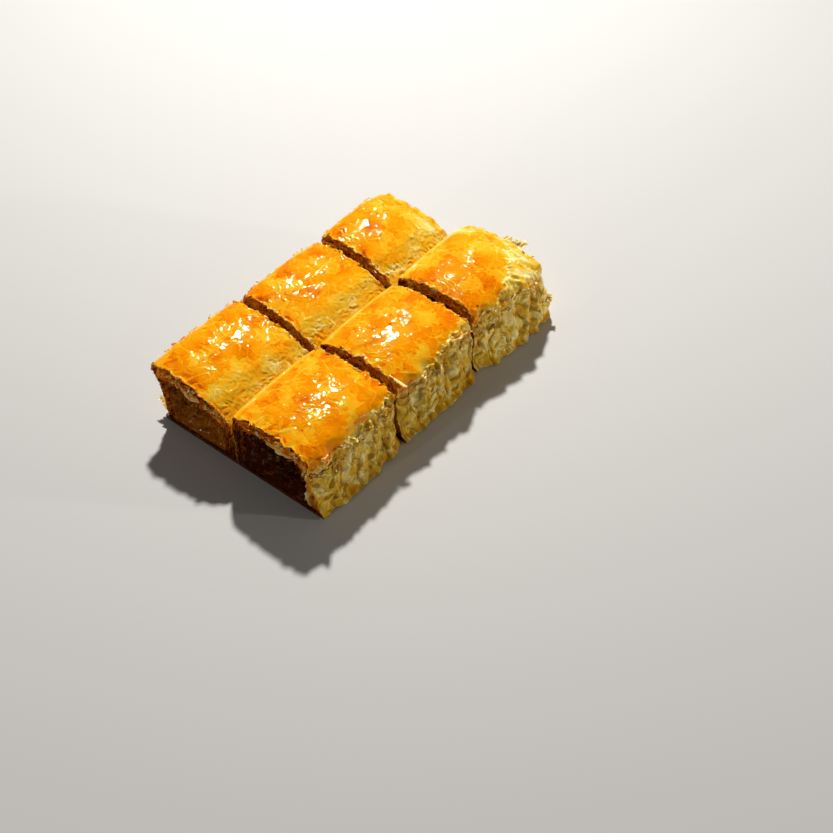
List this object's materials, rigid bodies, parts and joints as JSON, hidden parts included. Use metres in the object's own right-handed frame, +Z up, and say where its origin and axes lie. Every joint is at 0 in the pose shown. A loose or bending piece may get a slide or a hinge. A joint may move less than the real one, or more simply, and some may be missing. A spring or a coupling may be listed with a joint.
{
  "type": "baklava block",
  "caption": "Block of walnut baklava cut into squares: glossy golden filo wrappers over dark nut filling, with pleated pale sides and torn flaky edges.",
  "frame": {"origin": "middle of the block's footprint, on the surface that it rests on", "axes": "+X along the rolls, away from the free cut face; +Y across them, from the right roll to the left one; +Z up"},
  "size_m": [0.1414, 0.0894, 0.0323],
  "materials": {
    "filo": "glossy syrup over baked filo",
    "walnut_filling": "rough, moist ground walnut"
  },
  "bodies": {
    "root": {"pastry_left_front": "filo", "pastry_left_middle": "filo", "pastry_left_back": "filo", "pastry_right_front": "filo", "pastry_right_middle": "filo", "pastry_right_back": "filo", "filling_left_front": "walnut_filling", "filling_left_middle": "walnut_filling", "filling_left_back": "walnut_filling", "filling_right_front": "walnut_filling", "filling_right_middle": "walnut_filling", "filling_right_back": "walnut_filling"}
  },
  "joints": []
}
